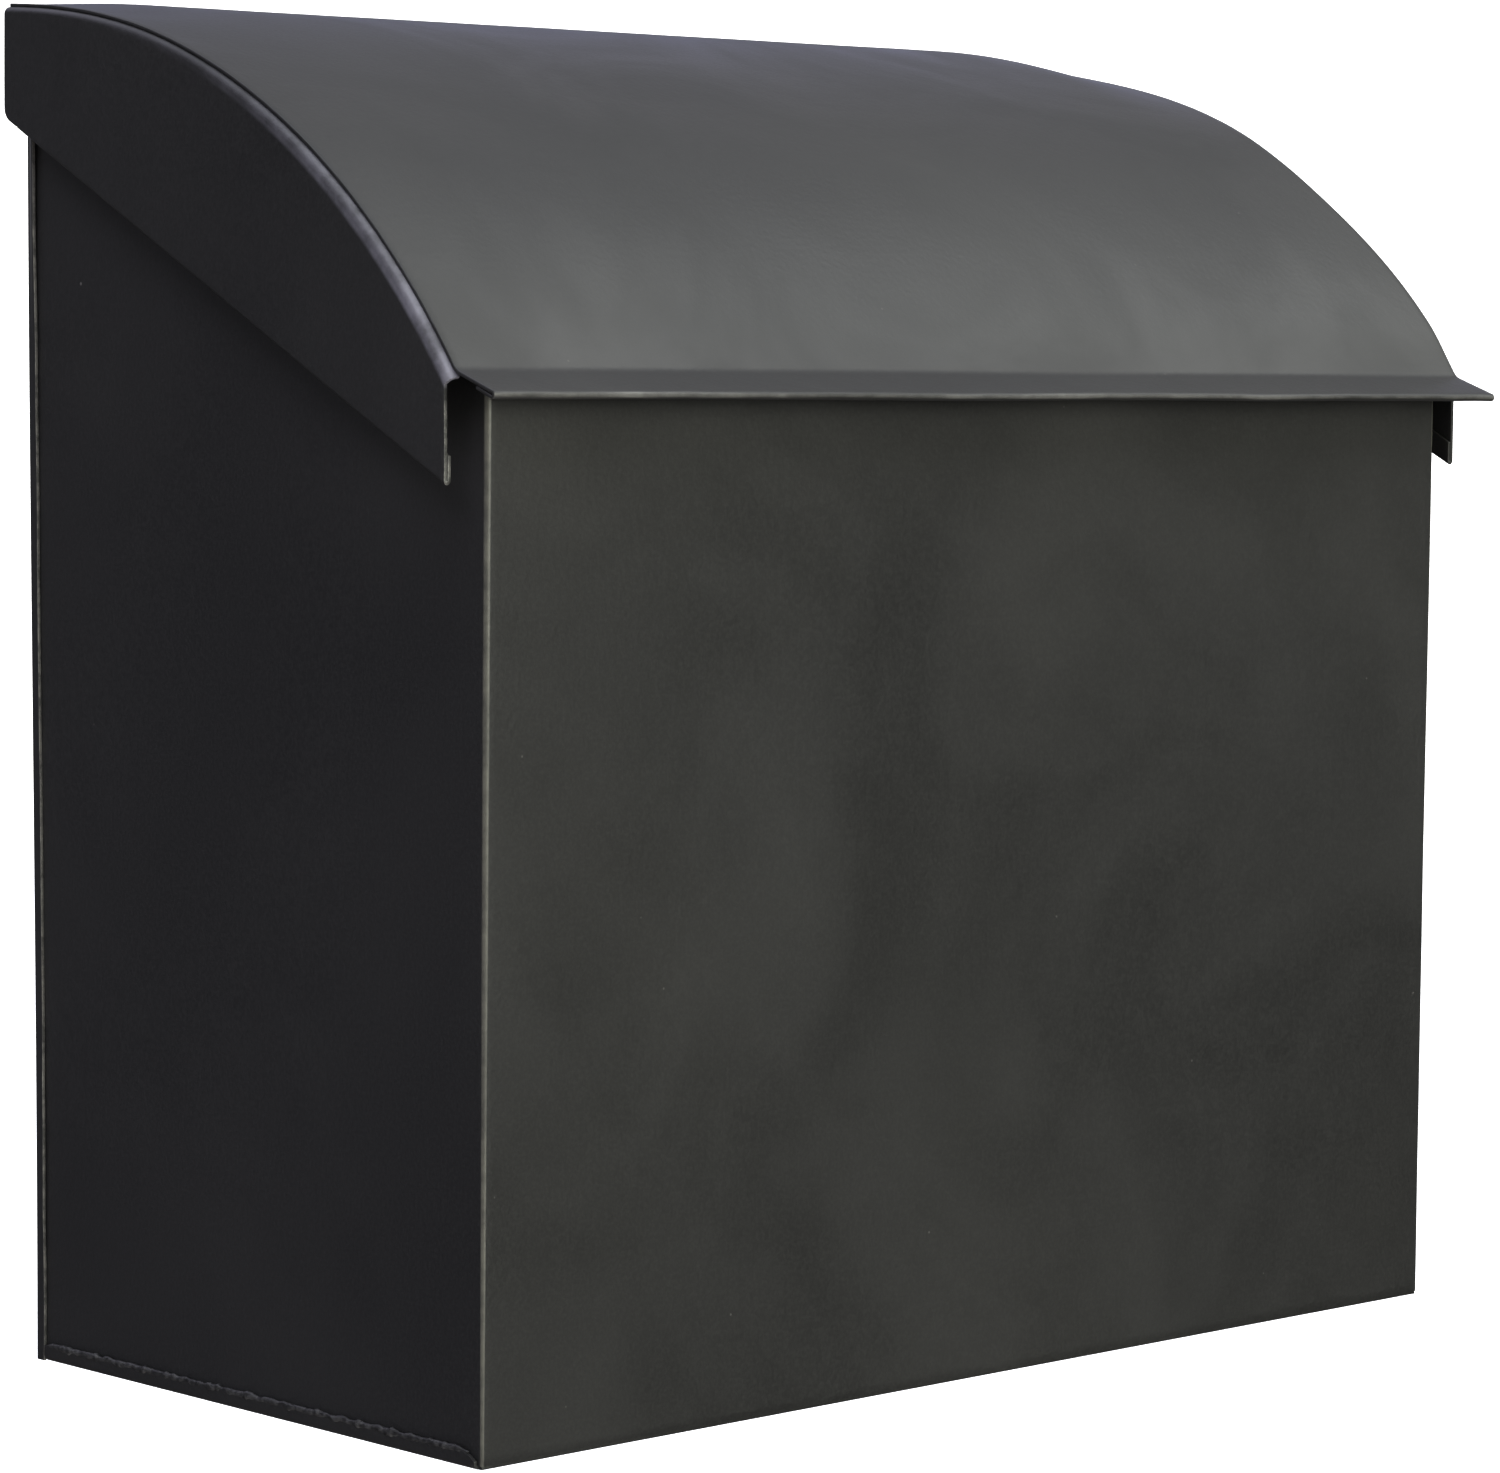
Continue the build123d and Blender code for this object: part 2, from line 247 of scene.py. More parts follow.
def all_cells(points):
    """A grid's cells, all of them kept."""
    return np.ones((points.shape[0] - 1, points.shape[1] - 1), bool)


def tube_faces(rings, sides):
    """The faces of a closed tube of rings, whose vertices run round one ring after another."""
    faces = []
    for r in range(rings - 1):
        for k in range(sides):
            a, b = r * sides + k, r * sides + (k + 1) % sides
            faces.append((a, b, b + sides, a + sides))
    return faces


def bake_modifiers(piece):
    """Replaces the piece's mesh by its evaluated mesh and removes its modifiers."""
    graph = bpy.context.evaluated_depsgraph_get()
    mesh = bpy.data.meshes.new_from_object(piece.evaluated_get(graph))
    piece.modifiers.clear()
    piece.data = mesh


# Grid lines round a hole's centre, and how near it other lines may come, in hole radii
HOLE_LINES = (-2.0, -1.5, -1.0, -0.75, -0.5, -0.25, 0.0, 0.25, 0.5, 0.75, 1.0, 1.5, 2.0)
HOLE_CLEAR = 2.3


def with_holes(values, centres, radius):
    """Grid lines with the ones near each hole's centre replaced by the hole's own."""
    lines = [v for v in values if all(abs(v - c) > HOLE_CLEAR * radius for c in centres)]
    return sorted(lines + [c + radius * k for c in centres for k in HOLE_LINES])


def punch(points, keep, centres, radius, across, along):
    """Opens round holes in a flat grid, by drawing the square of cells at each centre to a circle.
    across and along are the two coordinates the sheet lies in."""
    for centre in centres:
        u = points[..., across] - centre[0]
        v = points[..., along] - centre[1]
        square = np.maximum(np.abs(u), np.abs(v))
        near = (square <= 2.01 * radius) & (square > 0)
        circle = square / np.maximum(np.hypot(u, v), 1e-9)
        blend = np.clip(square / radius - 1, 0.0, 1.0)
        factor = np.where(near, circle * (1 - blend) + blend, 1.0)
        points[..., across] = centre[0] + u * factor
        points[..., along] = centre[1] + v * factor
        inside = square < 1.01 * radius
        keep &= ~(inside[:-1, :-1] & inside[1:, :-1] & inside[:-1, 1:] & inside[1:, 1:])


def thicken(piece, face_material, edge_material):
    """Gives a centre surface the sheet's thickness. Its cut edges take the second material."""
    piece.data.materials.append(face_material)
    piece.data.materials.append(edge_material)
    shell = piece.modifiers.new("shell", "SOLIDIFY")
    shell.thickness = SHEET * MM
    shell.offset = 0.0
    shell.use_even_offset = True
    shell.use_quality_normals = True
    shell.material_offset_rim = 1
    bake_modifiers(piece)


def round_edges(piece, edge_r=CUT_EDGE_R):
    """Rounds the sharp edges of a sheet and shades it smooth."""
    soften = piece.modifiers.new("soften", "BEVEL")
    soften.width = edge_r * MM
    soften.segments = 2
    soften.limit_method = "ANGLE"
    soften.angle_limit = math.radians(50)
    soften.use_clamp_overlap = True
    bake_modifiers(piece)
    piece.data.shade_smooth()
    piece.data.set_sharp_from_angle(angle=math.radians(45))


def place(piece, body, slot, *nodes):
    """Puts a finished piece on its body, in place of CAD nodes. slot is not used."""
    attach(piece, body)
    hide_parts(*nodes)


def smoothstep(low, high, value):
    """0 at low and beyond, 1 at high and beyond, and smooth between. low may be the larger."""
    t = np.clip((value - low) / (high - low), 0.0, 1.0)
    return t * t * (3 - 2 * t)


# ---- Materials ---------------------------------------------------------------------------
class Nodes:
    """A short way to write a material's node tree."""

    def __init__(self, name):
        self.material = bpy.data.materials.new(name)
        self.material.use_nodes = True
        self.tree = self.material.node_tree
        self.shader = self.tree.nodes["Principled BSDF"]
        coordinates = self.tree.nodes.new("ShaderNodeTexCoord")
        self.position = coordinates.outputs["Object"]

    def add(self, kind, inputs=None, **settings):
        node = self.tree.nodes.new(kind)
        for key, value in settings.items():
            setattr(node, key, value)
        for key, value in (inputs or {}).items():
            self.put(value, node.inputs[key])
        return node

    def put(self, value, socket):
        if isinstance(value, bpy.types.NodeSocket):
            self.tree.links.new(value, socket)
        else:
            socket.default_value = value

    def noise(self, scale, detail=2.0, roughness=0.5, distortion=0.0):
        node = self.add(
            "ShaderNodeTexNoise",
            {
                "Vector": self.position,
                "Scale": scale,
                "Detail": detail,
                "Roughness": roughness,
                "Distortion": distortion,
            },
        )
        return node.outputs["Fac"]

    def ramp(self, value, low, high, to_low=0.0, to_high=1.0):
        node = self.add(
            "ShaderNodeMapRange",
            {
                "Value": value,
                "From Min": low,
                "From Max": high,
                "To Min": to_low,
                "To Max": to_high,
            },
            interpolation_type="SMOOTHSTEP",
        )
        return node.outputs["Result"]

    def math(self, operation, first, second):
        node = self.add("ShaderNodeMath", {0: first, 1: second}, operation=operation)
        return node.outputs["Value"]

    def mix(self, share, first, second):
        # With colours, inputs 6 and 7 are A and B, and output 2 is the result
        node = self.add("ShaderNodeMix", data_type="RGBA")
        self.put(share, node.inputs["Factor"])
        self.put(first, node.inputs[6])
        self.put(second, node.inputs[7])
        return node.outputs[2]

    def specks(self, scale, radius, share):
        """Scattered round specks: 1 inside them and 0 outside."""
        cells = self.add(
            "ShaderNodeTexVoronoi", {"Vector": self.position, "Scale": scale, "Randomness": 1.0}
        )
        near = self.ramp(cells.outputs["Distance"], radius, radius * 0.4)
        chosen = self.add("ShaderNodeSeparateColor", {"Color": cells.outputs["Color"]})
        rare = self.ramp(chosen.outputs["Red"], 1 - share, 1 - share * 0.8)
        return self.math("MULTIPLY", near, rare)

    def bump(self, height, strength, distance, normal=None):
        inputs = {"Height": height, "Strength": strength, "Distance": distance}
        if normal is not None:
            inputs["Normal"] = normal
        return self.add("ShaderNodeBump", inputs).outputs["Normal"]


PAINT_DARK = (0.0112, 0.0112, 0.0112, 1.0)
PAINT_LIGHT = (0.0165, 0.0165, 0.0160, 1.0)
# Paler colour on the body's folds: a painted highlight, on paint worn thin at the bends
FOLD_HIGHLIGHT_AND_WEAR = (0.105, 0.103, 0.085, 1.0)
# Paler colour on the lid's nose, a painted highlight on worn paint, and in patches along its rear
# edge
LID_EDGE_HIGHLIGHT_AND_WEAR = (0.150, 0.148, 0.140, 1.0)
# Pale bluish colour on the cheeks' top bends: a painted highlight
CHEEK_BEND_HIGHLIGHT = (0.190, 0.188, 0.215, 1.0)
GRAIN = (0.05, 0.05, 0.048, 1.0)
DUST = (0.30, 0.29, 0.27, 1.0)
EDGE_PAINT = (0.045, 0.045, 0.042, 1.0)
EDGE_METAL = (0.20, 0.195, 0.18, 1.0)
WELD_DARK = (0.014, 0.014, 0.014, 1.0)
WELD_LIGHT = (0.060, 0.060, 0.058, 1.0)
WELD_CRUMB = (0.30, 0.29, 0.27, 1.0)
ZINC_DARK = (0.42, 0.42, 0.41, 1.0)
ZINC_LIGHT = (0.58, 0.58, 0.57, 1.0)


def powder_coat(name, highlight_and_wear=None, highlight_and_wear_colour=FOLD_HIGHLIGHT_AND_WEAR, gloss=0.44, dust=1.0):
    """Satin powder coat: soft mottling, an orange-peel skin, faint handling marks and dust. The mask
    argument gives the places painted paler, as a painted highlight and where handling has polished
    the paint thin, and the colour argument their colour there."""
    n = Nodes(name)
    clouds = n.ramp(n.noise(9.0, 3.0, 0.55, 0.4), 0.32, 0.70)
    grain = n.ramp(n.noise(1400.0, 2.0, 0.6), 0.35, 0.75)
    colour = n.mix(clouds, PAINT_DARK, PAINT_LIGHT)
    colour = n.mix(n.math("MULTIPLY", grain, 0.22), colour, GRAIN)
    film = n.ramp(n.noise(11.0, 3.0, 0.5, 0.3), 0.45, 0.85, 0.0, 0.022 * dust)
    colour = n.mix(film, colour, DUST)
    fine = n.specks(150.0, 0.055, 0.10 * dust)
    coarse = n.specks(34.0, 0.017, 0.30 * dust)
    spots = n.math("MAXIMUM", n.math("MULTIPLY", fine, 0.22), n.math("MULTIPLY", coarse, 0.38))
    colour = n.mix(spots, colour, DUST)
    # Painted highlight, partly on paint worn thin: the mask makes the colour paler and the paint
    # smoother
    if highlight_and_wear:
        patchy = n.ramp(n.noise(130.0, 4.0, 0.65), 0.25, 0.70, 0.30, 1.0)
        lightened = n.math("MULTIPLY", highlight_and_wear(n), patchy)
        colour = n.mix(lightened, colour, highlight_and_wear_colour)
    n.put(colour, n.shader.inputs["Base Color"])
    sheen = n.ramp(n.noise(16.0, 4.0, 0.6, 0.8), 0.30, 0.72, gloss - 0.05, gloss + 0.06)
    rough = n.math("ADD", sheen, n.math("MULTIPLY", grain, 0.05))
    if highlight_and_wear:
        rough = n.math("SUBTRACT", rough, n.math("MULTIPLY", lightened, 0.12))
    n.put(n.math("ADD", rough, n.math("MULTIPLY", spots, 0.5)), n.shader.inputs["Roughness"])
    peel = n.bump(n.noise(620.0, 2.0, 0.5), 0.16, 0.0004)
    skin = n.bump(n.noise(2600.0, 2.0, 0.6), 0.10, 0.00012, peel)
    n.put(n.bump(spots, 0.5, 0.0001, skin), n.shader.inputs["Normal"])
    return n.material


def cut_edge_paint(name):
    """Thin paint over a sheet's cut edge, rubbed back to grey metal in places."""
    n = Nodes(name)
    lightened = n.ramp(n.noise(260.0, 4.0, 0.7), 0.38, 0.66)
    colour = n.mix(lightened, EDGE_PAINT, EDGE_METAL)
    n.put(colour, n.shader.inputs["Base Color"])
    n.put(n.ramp(lightened, 0.0, 1.0, 0.42, 0.34), n.shader.inputs["Roughness"])
    n.put(n.ramp(lightened, 0.0, 1.0, 0.0, 0.45), n.shader.inputs["Metallic"])
    n.put(n.bump(n.noise(1500.0, 3.0, 0.6), 0.3, 0.0002), n.shader.inputs["Normal"])
    return n.material


def weld_paint(name):
    """Paint pooled over a rough weld, with bare bright crumbs."""
    n = Nodes(name)
    crumbs = n.specks(420.0, 0.20, 0.10)
    lumps = n.noise(700.0, 4.0, 0.6)
    colour = n.mix(n.ramp(lumps, 0.35, 0.7), WELD_DARK, WELD_LIGHT)
    n.put(n.mix(crumbs, colour, WELD_CRUMB), n.shader.inputs["Base Color"])
    n.put(n.ramp(lumps, 0.2, 0.8, 0.30, 0.55), n.shader.inputs["Roughness"])
    n.put(n.bump(lumps, 0.6, 0.0003), n.shader.inputs["Normal"])
    return n.material


def zinc(name):
    """Dull zinc plate with fine turning lines."""
    n = Nodes(name)
    spangle = n.ramp(n.noise(400.0, 3.0, 0.6), 0.3, 0.7)
    colour = n.mix(spangle, ZINC_DARK, ZINC_LIGHT)
    n.put(colour, n.shader.inputs["Base Color"])
    n.shader.inputs["Metallic"].default_value = 1.0
    n.put(n.ramp(spangle, 0.0, 1.0, 0.34, 0.48), n.shader.inputs["Roughness"])
    n.put(n.bump(n.noise(2200.0, 2.0, 0.5), 0.2, 0.0001), n.shader.inputs["Normal"])
    return n.material


def fold_highlight_and_wear(n):
    """1 on a vertical fold between two square faces, from the direction the surface faces. The coat
    is
    painted paler there: a painted highlight, on paint worn thin at the bend.
    """
    facing = n.add("ShaderNodeSeparateXYZ", {0: n.add("ShaderNodeNewGeometry").outputs["Normal"]})
    both = n.math("MULTIPLY", facing.outputs["X"], facing.outputs["Y"])
    return n.ramp(n.math("ABSOLUTE", both, 0.0), 0.06, 0.36)


def lid_edge_highlight_and_wear(n):
    """1 along the very front of the lid's lip, where it paints a highlight on paint worn there, and
    less, in patches, along its rear edge, which it makes paler.
    """
    y = n.add("ShaderNodeSeparateXYZ", {0: n.position}).outputs["Y"]
    front = n.ramp(y, *((LID_LOW.y + inwards) * MM for inwards in NOSE_HIGHLIGHT_AND_WEAR))
    rear = n.ramp(y, *((LID_HIGH.y - inwards) * MM for inwards in REAR_PALE_PATCHES), 0.0, 0.6)
    patches = n.ramp(n.noise(30.0, 4.0, 0.7), 0.44, 0.66)
    return n.math("MAXIMUM", front, n.math("MULTIPLY", rear, patches))


def cheek_bend_highlight(n):
    """1 over the bend at the top of a cheek, most of all towards its front: a painted highlight."""
    at = n.add("ShaderNodeSeparateXYZ", {0: n.position}).outputs
    away = n.add("ShaderNodeCombineXYZ", {"Y": at["Y"], "Z": at["Z"]}).outputs["Vector"]
    from_axis = n.add(
        "ShaderNodeVectorMath",
        {0: away, 1: Vector((0.0, ARC_Y, ARC_Z)) * MM},
        operation="DISTANCE",
    ).outputs["Value"]
    high = n.ramp(from_axis, *((ARC_R - below) * MM for below in BEND_HIGHLIGHT))
    forward = n.ramp(at["Y"], *(y * MM for y in BEND_HIGHLIGHT_Y), 0.08, 1.0)
    return n.math("MULTIPLY", high, forward)


COAT = powder_coat("satin_powder_coat")
BODY_COAT = powder_coat("satin_powder_coat_body", fold_highlight_and_wear)
LID_COAT = powder_coat("satin_powder_coat_lid", lid_edge_highlight_and_wear, LID_EDGE_HIGHLIGHT_AND_WEAR)
CHEEK_COAT = powder_coat("satin_powder_coat_cheek", cheek_bend_highlight, CHEEK_BEND_HIGHLIGHT)
EDGE = cut_edge_paint("cut_edge_paint")
WELD = weld_paint("weld_paint")
HINGE_PAINT = powder_coat("hinge_paint", gloss=0.38, dust=0.4)
ZINC = zinc("dull_zinc")


# ---- Body --------------------------------------------------------------------------------
def wrap_column(kind, t, z):
    """A point of the front and sides' centre line at height z. kind is left, left_fold, front,
    right_fold or right, and t runs from 0 to 1 along it."""
    share = (z - FLOOR_Z) / (FRONT_TOP_Z - FLOOR_Z)
    bend = FOLD_R_LOW + (FOLD_R_HIGH - FOLD_R_LOW) * min(max(share, 0.0), 1.0) - HALF
    edge_x = WRAP_HIGH.x - HALF
    edge_y = FRONT_Y + HALF
    if kind in ("left", "right"):
        along = t if kind == "left" else 1 - t
        y = WRAP_HIGH.y + (edge_y + bend - WRAP_HIGH.y) * along
        return (-edge_x if kind == "left" else edge_x, y)
    if kind == "front":
        return (-edge_x + bend + 2 * (edge_x - bend) * t, edge_y)
    angle = t * math.pi / 2 if kind == "left_fold" else (1 - t) * math.pi / 2
    x = edge_x - bend + bend * math.cos(angle)
    y = edge_y + bend - bend * math.sin(angle)
    return (-x if kind == "left_fold" else x, y)


def side_top(y):
    """The height of the side panels' sloping top edge."""
    slope = (WRAP_HIGH.z - FRONT_TOP_Z) / (BACK_HIGH.y - FRONT_Y)
    return FRONT_TOP_Z + slope * (y - FRONT_Y)


def front_and_sides():
    """One sheet bent round the two front corners, its front top edge turned inwards."""
    relief = RELIEF_W / (2 * WRAP_HIGH.x)
    front_t = [0.0, relief * 0.9, *spaced(relief, 1 - relief, 90, 0.2), 1 - relief * 0.9, 1.0]
    columns = [("left", t) for t in spaced(0, 1, 44, 0.5)[:-1]]
    columns += [("left_fold", t) for t in spaced(0, 1, 9)[:-1]]
    columns += [("front", t) for t in front_t[:-1]]
    columns += [("right_fold", t) for t in spaced(0, 1, 9)[:-1]]
    columns += [("right", t) for t in spaced(0, 1, 44, 0.5)]
    heights = spaced(0, 1, 70, 0.35)
    turned = [kind == "front" and relief <= t <= 1 - relief for kind, t in columns]
    base = FLOOR_Z + SHEET
    bend_rows = spaced(0, math.pi / 2, 6)[1:]
    flange_rows = spaced(0, 1, 6)[1:]
    points = np.zeros((len(heights) + len(bend_rows) + len(flange_rows), len(columns), 3))
    for c, (kind, t) in enumerate(columns):
        top = FRONT_TOP_Z if kind == "front" else side_top(wrap_column(kind, t, FRONT_TOP_Z)[1])
        if turned[c]:
            top -= HALF + RETURN_BEND
        for r, h in enumerate(heights):
            z = base + (top - base) * h
            points[r, c] = (*wrap_column(kind, t, z), z)
        x, y, z = points[len(heights) - 1, c]
        for r, angle in enumerate(bend_rows):
            inwards = RETURN_BEND * (1 - math.cos(angle))
            points[len(heights) + r, c] = (x, y + inwards, z + RETURN_BEND * math.sin(angle))
        x, y, z = points[len(heights) + len(bend_rows) - 1, c]
        for r, share in enumerate(flange_rows):
            reach = (RETURN_D - HALF - RETURN_BEND) * share
            points[len(heights) + len(bend_rows) + r, c] = (x, y + reach, z)
    for height, size, seed in BODY_BUCKLES:
        points = buckle(points, height, size, seed)
    points = leaned(points)
    keep = all_cells(points)
    for c in range(len(columns) - 1):
        if not (turned[c] and turned[c + 1]):
            keep[len(heights) - 1 :, c] = False
    piece = grid_object("front_and_sides_sheet", points, keep)
    thicken(piece, BODY_COAT, EDGE)
    round_edges(piece)
    place(piece, "body", "painted_steel", "front_and_sides")


def back_panel():
    """The wall plate: side flanges outside the side panels and a hemmed top edge."""
    edge_x = BACK_HIGH.x - HALF
    back_y = BACK_HIGH.y - HALF
    screws = MOUNTS["wall_screws"]["dims"]
    screw_x = screws["spacing_x_mm"] / 2
    screw_z = screws["spacing_y_mm"] / 2
    screw_r = screws["hole_r_mm"]
    flange = [(-edge_x, y) for y in spaced(BACK_LOW.y, back_y - PLATE_BEND, 5)]
    corner = [
        (
            -edge_x + PLATE_BEND * (1 - math.cos(a)),
            back_y - PLATE_BEND * (1 - math.sin(a)),
        )
        for a in spaced(0, math.pi / 2, 6)[1:]
    ]
    relief_x = -(WRAP_HIGH.x - 2 * SHEET)
    plate_xs = spaced(-edge_x + PLATE_BEND, 0, 40, 0.2)[1:]
    plate_xs = [x for x in plate_xs if abs(x - relief_x) > SHEET]
    plate_xs = with_holes([*plate_xs, relief_x], (-screw_x,), screw_r)
    half_plate = [(x, back_y) for x in plate_xs]
    left = flange + corner + half_plate
    path = left + [(-x, y) for x, y in left[-2::-1]]
    hem_r = HALF + HEM_GAP / 2
    top = BACK_HIGH.z - hem_r - HALF
    heights = with_holes(spaced(FLOOR_Z + EDGE_INSET, top, 74, 0.3), (-screw_z, screw_z), screw_r)
    fold = spaced(0, math.pi, 8)[1:]
    leg = spaced(0, BACK_HEM_H, 4)[1:]
    points = np.zeros((len(heights) + len(fold) + len(leg), len(path), 3))
    for c, (x, y) in enumerate(path):
        for r, z in enumerate(heights):
            points[r, c] = (x, y, z)
        for r, a in enumerate(fold):
            inwards = hem_r * (1 - math.cos(a))
            points[len(heights) + r, c] = (x, y - inwards, top + hem_r * math.sin(a))
        for r, down in enumerate(leg):
            points[len(heights) + len(fold) + r, c] = (x, y - 2 * hem_r, top - down)
    keep = all_cells(points)
    centres = [(sx * screw_x, sz * screw_z) for sx in (-1, 1) for sz in (-1, 1)]
    punch(points, keep, centres, screw_r, 0, 2)
    # The flanges spring away from the side panels towards their tops, and wander a little
    outside = np.abs(points[..., 0]) > edge_x - 1e-3
    forward = smoothstep(back_y - PLATE_BEND, BACK_LOW.y, points[..., 1]) * outside
    points = leaned(points)
    splay = smoothstep(BACK_HIGH.z - SPLAY_START, BACK_HIGH.z - SPLAY_FULL, points[..., 2])
    spring = FLANGE_SPRING + FLANGE_SPLAY * splay
    sway = 0.18 * unevenness(points, 26.0, 5)
    points[..., 0] += np.sign(points[..., 0]) * forward * (spring + sway)
    points[..., 1] += forward * (0.12 * unevenness(points, 13.0, 6) + 0.12)
    share = 1 - smoothstep(BACK_HIGH.z - 40, BACK_HIGH.z - 20, points[..., 2])
    flat = (np.abs(points[..., 0]) < WRAP_HIGH.x - 4) * share
    points[..., 1] -= 0.05 + 0.10 * np.abs(unevenness(points, 70.0, 3)) * flat
    for c in range(len(path) - 1):
        if max(abs(path[c][0]), abs(path[c + 1][0])) > abs(relief_x) + 1e-6:
            keep[len(heights) - 1 :, c] = False
    piece = grid_object("back_panel_sheet", points, keep)
    thicken(piece, COAT, EDGE)
    round_edges(piece)
    place(piece, "body", "painted_steel", "back_panel")


def bottom_panel():
    """The tray: its side flanges stand outside the side panels, and it has four drain holes."""
    edge_x = TRAY_HIGH.x - HALF
    base = FLOOR_Z + HALF
    up = [(-edge_x, z) for z in spaced(FLOOR_Z + FLOOR_FLANGE_H, base + PLATE_BEND, 5)]
    corner = [
        (-edge_x + PLATE_BEND * (1 - math.cos(a)), base + PLATE_BEND * (1 - math.sin(a)))
        for a in spaced(0, math.pi / 2, 6)[1:]
    ]
    drain_x, drain_y = DRAIN_SPACING[0] / 2, DRAIN_SPACING[1] / 2
    plate_xs = with_holes(spaced(-edge_x + PLATE_BEND, 0, 40, 0.2)[1:], (-drain_x,), DRAIN_R)
    half_plate = [(x, base) for x in plate_xs]
    left = up + corner + half_plate
    path = left + [(-x, z) for x, z in left[-2::-1]]
    flange_y = (FRONT_Y + FLOOR_FLANGE_END, BACK_HIGH.y - WALL_FLANGE_D - FLANGE_GAP)
    ys = [FRONT_Y + TRAY_SETBACK, *spaced(*flange_y, 60, 0.3), WRAP_HIGH.y]
    ys = with_holes(ys, (FRONT_Y / 2 - drain_y, FRONT_Y / 2 + drain_y), DRAIN_R)
    points = np.array([[(x, y, z) for x, z in path] for y in ys])
    keep = all_cells(points)
    centres = [(sx * drain_x, FRONT_Y / 2 + sy * drain_y) for sx in (-1, 1) for sy in (-1, 1)]
    punch(points, keep, centres, DRAIN_R, 0, 1)
    edge = smoothstep(FLOOR_Z + 1.2, FLOOR_Z + FLOOR_FLANGE_H, points[..., 2])
    points[..., 2] += TRAY_LIFT + edge * 0.28 * unevenness(points, 9.0, 11)
    clipped = smoothstep(flange_y[0] + FLANGE_CLIP, flange_y[0], points[..., 1])
    points[..., 2] -= FLANGE_CLIP * 0.6 * clipped * edge
    points[..., 0] += np.sign(points[..., 0]) * edge * (0.10 + 0.12 * unevenness(points, 17.0, 12))
    first_flat = len(up) + len(corner) - 1
    for r in (0, len(ys) - 2):
        keep[r, :first_flat] = False
        keep[r, len(path) - 1 - first_flat :] = False
    piece = grid_object("bottom_panel_sheet", points, keep)
    thicken(piece, COAT, COAT)
    round_edges(piece, TRAY_EDGE_R)
    place(piece, "body", "painted_steel", "bottom_panel")


def seam_weld(side, hand):
    """A rough weld bead along the top of a bottom flange."""
    rng = random.Random(40 + side)
    low, high = box_mm(f"{hand}_seam_weld")
    vertices = []
    for i, y in enumerate(spaced(high.y, low.y, WELD_STATIONS)):
        swell = noise.noise(Vector((y * 0.30, 3.1 * side, 0)))
        swell += 0.7 * noise.noise(Vector((y * 0.9, 9.7, side)))
        lump = rng.uniform(0.2, 0.6) if rng.random() < 0.10 else 0.0
        end = min(1.0, 0.35 + min(i, WELD_STATIONS - 1 - i) * 0.15)
        tack = 0.5 * math.exp(-(((y - high.y + 1.5) / 1.4) ** 2))
        radius = (WELD_R + 0.34 * swell + lump + tack) * end
        x = side * (WRAP_HIGH.x + 0.52 + 0.10 * noise.noise(Vector((y * 0.4, 1, 5))))
        z = FLOOR_Z + FLOOR_FLANGE_H + 0.05 + 0.40 * noise.noise(Vector((y * 0.35, 6, side)))
        for k in range(WELD_SIDES):
            a = math.tau * k / WELD_SIDES
            rough_r = radius * (1 + 0.16 * rng.uniform(-1, 1))
            vertices.append((x + 0.8 * rough_r * math.cos(a), y, z + rough_r * math.sin(a)))
    last = (WELD_STATIONS - 1) * WELD_SIDES
    faces = tube_faces(WELD_STATIONS, WELD_SIDES)
    faces += [list(range(WELD_SIDES))[::-1], list(range(last, last + WELD_SIDES))]
    piece = mesh_object(f"{hand}_seam_weld_bead", vertices, faces)
    piece.data.materials.append(WELD)
    smooth = piece.modifiers.new("smooth", "SUBSURF")
    smooth.levels = 1
    bake_modifiers(piece)
    piece.data.shade_smooth()
    place(piece, "body", "weld_bead", f"{hand}_seam_weld")


# ---- Lid ---------------------------------------------------------------------------------
def on_arch(radius, y):
    """The height of the circle of this radius about the arch's centre, above y."""
    return ARC_Z + math.sqrt(radius**2 - (y - ARC_Y) ** 2)


def lip_direction():
    """The lip's unit direction, forwards and down, and its upper face's normal, as (y, z)."""
    length = math.hypot(LIP_OUT, LIP_DROP)
    forward = np.array([-LIP_OUT, -LIP_DROP]) / length
    return forward, np.array([forward[1], -forward[0]]), length


